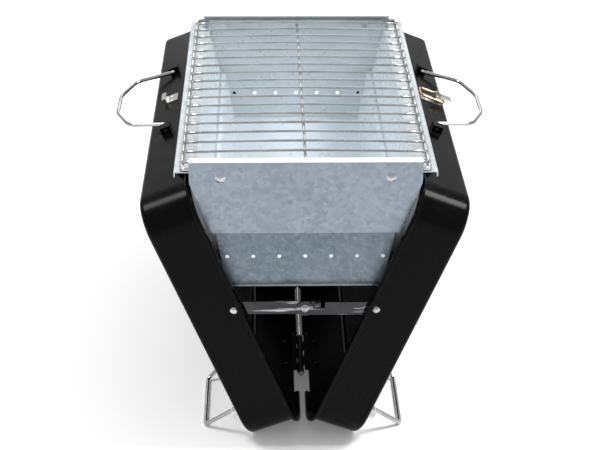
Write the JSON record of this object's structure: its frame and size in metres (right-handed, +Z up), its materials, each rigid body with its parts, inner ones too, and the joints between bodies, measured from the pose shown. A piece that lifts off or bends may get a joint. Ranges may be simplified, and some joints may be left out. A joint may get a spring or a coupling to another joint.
{
  "type": "folding suitcase barbecue",
  "caption": "Charcoal barbecue that folds into a carrying case: hinged steel shells stand open in a V and hold a galvanised firebox, tray and wire grate on wire legs",
  "frame": {"origin": "on the floor under the middle of the case", "axes": "+X to the latch side, +Y away from the cook along the case and the hinge, +Z up"},
  "size_m": [0.362, 0.447, 0.2894],
  "materials": {
    "black_enamel": "satin black baked enamel over steel sheet",
    "brass_wire": "yellow-passivated wire",
    "dark_rivet": "rivets painted with the shells",
    "bright_rivet": "zinc-plated domed rivets",
    "dark_hinge": "black painted hinge leaves",
    "galvanised_sheet": "galvanised sheet with a fine spangle",
    "galvanised_tray": "galvanised sheet",
    "grate_wire": "bright plated wire",
    "bright_wire": "bright plated wire",
    "zinc_link": "bright zinc-plated strip",
    "plated_fitting": "zinc-plated pressed steel"
  },
  "bodies": {
    "hinge_line": {"hinge_pin": "plated_fitting"},
    "left_case": {"left_shell": "black_enamel", "front_hinge_left_leaf": "dark_hinge", "rear_hinge_left_leaf": "dark_hinge", "left_hinge_rivets": "dark_rivet", "left_brace_end_rivets": "bright_rivet", "left_leg_clips": "plated_fitting", "left_clip_rivets": "bright_rivet", "catch_plate": "plated_fitting", "catch_rivets": "bright_rivet"},
    "right_case": {"right_shell": "black_enamel", "front_hinge_right_leaf": "dark_hinge", "rear_hinge_right_leaf": "dark_hinge", "right_hinge_rivets": "dark_rivet", "right_brace_end_rivets": "bright_rivet", "right_leg_clips": "plated_fitting", "right_clip_rivets": "bright_rivet", "latch_base": "plated_fitting", "latch_pin": "plated_fitting", "latch_rivets": "bright_rivet"},
    "front_left_link": {"front_brace_left_link": "zinc_link", "front_brace_rivet": "bright_rivet"},
    "front_right_link": {"front_brace_right_link": "zinc_link"},
    "rear_left_link": {"rear_brace_left_link": "zinc_link", "rear_brace_rivet": "bright_rivet"},
    "rear_right_link": {"rear_brace_right_link": "zinc_link"},
    "firebox": {"front_plate": "galvanised_sheet", "back_plate": "galvanised_sheet", "left_side_plate": "galvanised_sheet", "right_side_plate": "galvanised_sheet", "firebox_rivets": "bright_rivet"},
    "tray": {"charcoal_tray": "galvanised_tray"},
    "grate": {"cooking_grate": "grate_wire"},
    "left_handle": {"left_handle": "bright_wire"},
    "right_handle": {"right_handle": "bright_wire"},
    "front_left_leg": {"front_left_leg": "bright_wire"},
    "front_right_leg": {"front_right_leg": "bright_wire"},
    "rear_left_leg": {"rear_left_leg": "bright_wire"},
    "rear_right_leg": {"rear_right_leg": "bright_wire"},
    "latch_lever": {"latch_lever": "plated_fitting"},
    "latch_bail": {"latch_bail": "brass_wire"}
  },
  "joints": [
    {"name": "left_fold", "type": "hinge", "parent": "hinge_line", "child": "left_case", "pos_m": [0, 0, 0.0126], "axis": [0, 1, 0], "range_deg": [0, 21.66]},
    {"name": "right_fold", "type": "hinge", "parent": "hinge_line", "child": "right_case", "pos_m": [0, 0, 0.0126], "axis": [0, 1, 0], "range_deg": [-21.66, 0]},
    {"name": "front_brace_left_swing", "type": "hinge", "parent": "left_case", "child": "front_left_link", "pos_m": [-0.06327, -0.21455, 0.14806], "axis": [0, 1, 0], "range_deg": [-103.72, 0]},
    {"name": "front_brace_right_swing", "type": "hinge", "parent": "front_left_link", "child": "front_right_link", "pos_m": [0, -0.21455, 0.14806], "axis": [0, 1, 0], "range_deg": [0, 164.06]},
    {"name": "rear_brace_left_swing", "type": "hinge", "parent": "left_case", "child": "rear_left_link", "pos_m": [-0.06327, 0.21455, 0.14806], "axis": [0, 1, 0], "range_deg": [-103.72, 0]},
    {"name": "rear_brace_right_swing", "type": "hinge", "parent": "rear_left_link", "child": "rear_right_link", "pos_m": [0, 0.21455, 0.14806], "axis": [0, 1, 0], "range_deg": [0, 164.06]},
    {"name": "firebox_lift", "type": "slide", "parent": "hinge_line", "child": "firebox", "axis": [0, 0, 1], "range_m": [0, 0.38]},
    {"name": "grate_slide", "type": "slide", "parent": "firebox", "child": "grate", "axis": [1, 0, 0], "range_m": [0, 0.3]},
    {"name": "tray_lift", "type": "slide", "parent": "firebox", "child": "tray", "axis": [0, 0, 1], "range_m": [0, 0.04]},
    {"name": "left_handle_swing", "type": "hinge", "parent": "left_case", "child": "left_handle", "pos_m": [-0.12863, 0.0105, 0.25574], "axis": [0, 1, 0], "range_deg": [0, 77]},
    {"name": "right_handle_swing", "type": "hinge", "parent": "right_case", "child": "right_handle", "pos_m": [0.12863, 0.0105, 0.25574], "axis": [0, -1, 0], "range_deg": [0, 77]},
    {"name": "front_left_leg_fold", "type": "hinge", "parent": "left_case", "child": "front_left_leg", "pos_m": [-0.06431, -0.1495, 0.02822], "axis": [0, -1, 0], "range_deg": [0, 69.24]},
    {"name": "front_right_leg_fold", "type": "hinge", "parent": "right_case", "child": "front_right_leg", "pos_m": [0.06431, -0.1495, 0.02822], "axis": [0, 1, 0], "range_deg": [0, 69.24]},
    {"name": "rear_left_leg_fold", "type": "hinge", "parent": "left_case", "child": "rear_left_leg", "pos_m": [-0.06431, 0.1495, 0.02822], "axis": [0, -1, 0], "range_deg": [0, 69.24]},
    {"name": "rear_right_leg_fold", "type": "hinge", "parent": "right_case", "child": "rear_right_leg", "pos_m": [0.06431, 0.1495, 0.02822], "axis": [0, 1, 0], "range_deg": [0, 69.24]},
    {"name": "latch_lever_swing", "type": "hinge", "parent": "right_case", "child": "latch_lever", "pos_m": [0.13765, 0.013, 0.25409], "axis": [0, -1, 0], "range_deg": [0, 100]},
    {"name": "latch_bail_swing", "type": "hinge", "parent": "latch_lever", "child": "latch_bail", "pos_m": [0.14323, 0.013, 0.25188], "axis": [0, -1, 0], "range_deg": [-100, 0]}
  ],
  "couplings": [
    {"joint": "right_fold", "follows": "left_fold", "ratio": -1},
    {"joint": "front_brace_left_swing", "follows": "left_fold", "ratio": -4.786},
    {"joint": "front_brace_right_swing", "follows": "left_fold", "ratio": 7.572},
    {"joint": "rear_brace_left_swing", "follows": "left_fold", "ratio": -4.786},
    {"joint": "rear_brace_right_swing", "follows": "left_fold", "ratio": 7.572},
    {"joint": "firebox_lift", "follows": "left_fold", "m_per_rad": 1},
    {"joint": "latch_bail_swing", "follows": "latch_lever_swing", "ratio": -1}
  ]
}
